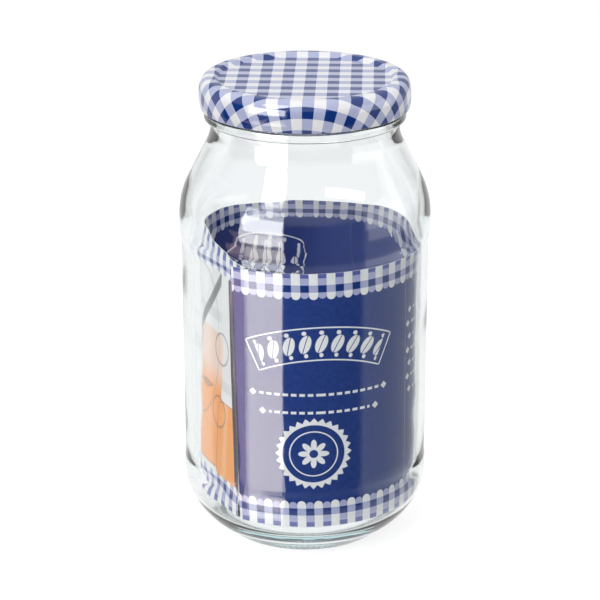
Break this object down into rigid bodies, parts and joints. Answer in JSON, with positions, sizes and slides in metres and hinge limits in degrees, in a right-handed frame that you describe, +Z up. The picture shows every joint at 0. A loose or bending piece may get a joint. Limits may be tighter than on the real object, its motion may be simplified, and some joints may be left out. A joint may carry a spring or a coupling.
{
  "type": "screw-top glass preserving jar",
  "caption": "Clear round glass jar with a set-back label panel, wide neck and patterned metal twist-off lid, empty but for a rolled printed leaflet inside.",
  "frame": {"origin": "centre of the jar's foot, on the surface it stands on", "axes": "+Z up through the mouth, -Y towards the front of the leaflet"},
  "size_m": [0.0988, 0.0988, 0.1873],
  "materials": {
    "clear_glass": "clear soda-lime glass, polished, faint green in the thick heel",
    "printed_lid": "gloss lacquered sheet steel with a blue and white check",
    "white_seal": "matt white sealing compound",
    "printed_card": "glossy coated card, printed both sides in navy blue"
  },
  "bodies": {
    "root": {"glass_jar": "clear_glass", "twist_lid": "printed_lid", "lid_gasket": "white_seal", "leaflet": "printed_card"}
  },
  "joints": []
}
